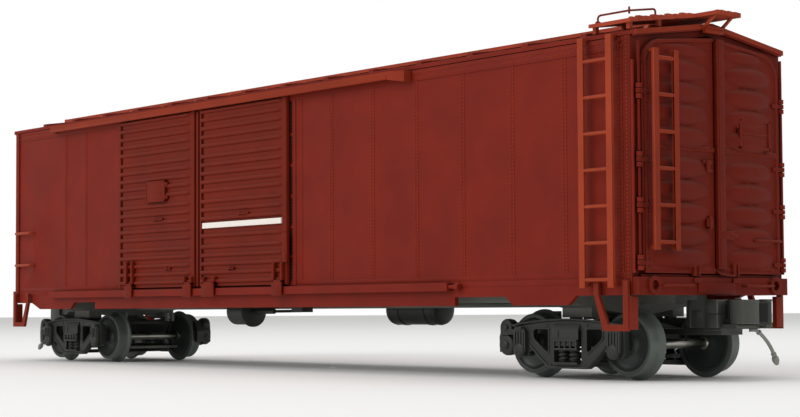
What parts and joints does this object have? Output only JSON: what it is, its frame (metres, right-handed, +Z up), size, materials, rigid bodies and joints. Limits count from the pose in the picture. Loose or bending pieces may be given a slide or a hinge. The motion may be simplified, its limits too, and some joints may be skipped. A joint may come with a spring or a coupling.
{
  "type": "1:48 scale model steel automobile boxcar",
  "caption": "Scale model of a riveted steel boxcar with double sliding side doors and hinged end doors, on swivelling trucks with turning wheels and opening couplers.",
  "frame": {"origin": "on the floor under the middle of the car, level with the lowest point of the wheel flanges", "axes": "+X along the car towards the end with the hinged doors, -Y towards the side that the picture shows, +Z up"},
  "size_m": [0.3592, 0.0688, 0.1],
  "materials": {
    "oxide_red_paint": "satin oxide red paint on moulded plastic",
    "oxide_red_fittings": "oxide red, separately applied fittings",
    "blackened_casting": "blackened die casting",
    "blackened_wheel": "blackened, treads turned bright by running",
    "grey_metal": "grey painted metal chassis"
  },
  "bodies": {
    "car_body": {"air_reservoir": "blackened_casting", "brake_cylinder": "blackened_casting", "brake_housing": "oxide_red_paint", "brake_step": "oxide_red_fittings", "brake_wheel": "oxide_red_paint", "control_valve": "blackened_casting", "corner_board_far": "oxide_red_fittings", "corner_board_near": "oxide_red_fittings", "corner_handrail_far": "oxide_red_fittings", "corner_handrail_near": "oxide_red_fittings", "door_end_frame": "oxide_red_paint", "end_sill_door_end": "oxide_red_paint", "end_sill_plain_end": "oxide_red_paint", "floor": "grey_metal", "hinge_post_left": "oxide_red_paint", "hinge_post_right": "oxide_red_paint", "lower_door_track_far": "oxide_red_paint", "lower_door_track_near": "oxide_red_paint", "pivot_screw_door_end": "blackened_casting", "pivot_screw_plain_end": "blackened_casting", "plain_end": "oxide_red_paint", "plain_end_ladder": "oxide_red_fittings", "roof": "oxide_red_paint", "running_board": "oxide_red_fittings", "side_ladder_far": "oxide_red_fittings", "side_ladder_near": "oxide_red_fittings", "side_panel_far": "oxide_red_paint", "side_panel_near": "oxide_red_paint", "stirrup_door_end_far": "oxide_red_fittings", "stirrup_door_end_near": "oxide_red_fittings", "stirrup_plain_end_far": "oxide_red_fittings", "stirrup_plain_end_near": "oxide_red_fittings", "underframe": "grey_metal", "upper_door_track_far": "oxide_red_fittings", "upper_door_track_near": "oxide_red_fittings"},
    "door_end_truck": {"brake_hose_door_end": "blackened_casting", "coupler_arm_door_end": "blackened_casting", "sideframe_far_door_end": "blackened_casting", "sideframe_near_door_end": "blackened_casting", "spring_plank_door_end": "blackened_casting", "truck_bolster_door_end": "blackened_casting"},
    "plain_end_truck": {"brake_hose_plain_end": "blackened_casting", "coupler_arm_plain_end": "blackened_casting", "sideframe_far_plain_end": "blackened_casting", "sideframe_near_plain_end": "blackened_casting", "spring_plank_plain_end": "blackened_casting", "truck_bolster_plain_end": "blackened_casting"},
    "auxiliary_door_far": {"auxiliary_door_far": "oxide_red_paint"},
    "auxiliary_door_near": {"auxiliary_door_near": "oxide_red_paint"},
    "end_door_left": {"end_door_ladder": "oxide_red_fittings", "end_door_left": "oxide_red_paint"},
    "end_door_right": {"end_door_right": "oxide_red_paint"},
    "knuckle_door_end": {"knuckle_door_end": "blackened_casting"},
    "knuckle_plain_end": {"knuckle_plain_end": "blackened_casting"},
    "main_door_far": {"main_door_far": "oxide_red_paint"},
    "main_door_near": {"main_door_near": "oxide_red_paint"},
    "wheelset_inner_door_end": {"wheelset_inner_door_end": "blackened_wheel"},
    "wheelset_inner_plain_end": {"wheelset_inner_plain_end": "blackened_wheel"},
    "wheelset_outer_door_end": {"wheelset_outer_door_end": "blackened_wheel"},
    "wheelset_outer_plain_end": {"wheelset_outer_plain_end": "blackened_wheel"}
  },
  "joints": [
    {"name": "door_end_truck_swivel", "type": "hinge", "parent": "car_body", "child": "door_end_truck", "pos_m": [0.13325, 0, 0.0178], "axis": [0, 0, 1], "range_deg": [-15, 15]},
    {"name": "outer_axle_door_end", "type": "hinge", "parent": "door_end_truck", "child": "wheelset_outer_door_end", "pos_m": [0.151, 0, 0.00975], "axis": [0, 1, 0], "continuous": true},
    {"name": "inner_axle_door_end", "type": "hinge", "parent": "door_end_truck", "child": "wheelset_inner_door_end", "pos_m": [0.1155, 0, 0.00975], "axis": [0, 1, 0], "continuous": true},
    {"name": "knuckle_pin_door_end", "type": "hinge", "parent": "door_end_truck", "child": "knuckle_door_end", "pos_m": [0.17585, -0.0026, 0.018], "axis": [0, 0, -1], "range_deg": [0, 45]},
    {"name": "plain_end_truck_swivel", "type": "hinge", "parent": "car_body", "child": "plain_end_truck", "pos_m": [-0.13325, 0, 0.0178], "axis": [0, 0, 1], "range_deg": [-15, 15]},
    {"name": "outer_axle_plain_end", "type": "hinge", "parent": "plain_end_truck", "child": "wheelset_outer_plain_end", "pos_m": [-0.151, 0, 0.00975], "axis": [0, 1, 0], "continuous": true},
    {"name": "inner_axle_plain_end", "type": "hinge", "parent": "plain_end_truck", "child": "wheelset_inner_plain_end", "pos_m": [-0.1155, 0, 0.00975], "axis": [0, 1, 0], "continuous": true},
    {"name": "knuckle_pin_plain_end", "type": "hinge", "parent": "plain_end_truck", "child": "knuckle_plain_end", "pos_m": [-0.17585, 0.0026, 0.018], "axis": [0, 0, -1], "range_deg": [0, 45]},
    {"name": "auxiliary_door_slide_near", "type": "slide", "parent": "car_body", "child": "auxiliary_door_near", "axis": [-1, 0, 0], "range_m": [0, 0.0465]},
    {"name": "main_door_slide_near", "type": "slide", "parent": "car_body", "child": "main_door_near", "axis": [1, 0, 0], "range_m": [0, 0.05]},
    {"name": "auxiliary_door_slide_far", "type": "slide", "parent": "car_body", "child": "auxiliary_door_far", "axis": [1, 0, 0], "range_m": [0, 0.0465]},
    {"name": "main_door_slide_far", "type": "slide", "parent": "car_body", "child": "main_door_far", "axis": [-1, 0, 0], "range_m": [0, 0.05]},
    {"name": "end_door_hinge_left", "type": "hinge", "parent": "car_body", "child": "end_door_left", "pos_m": [0.16605, -0.0301, 0.06], "axis": [0, 0, -1], "range_deg": [0, 105]},
    {"name": "end_door_hinge_right", "type": "hinge", "parent": "car_body", "child": "end_door_right", "pos_m": [0.16605, 0.0301, 0.06], "axis": [0, 0, 1], "range_deg": [0, 105]}
  ]
}
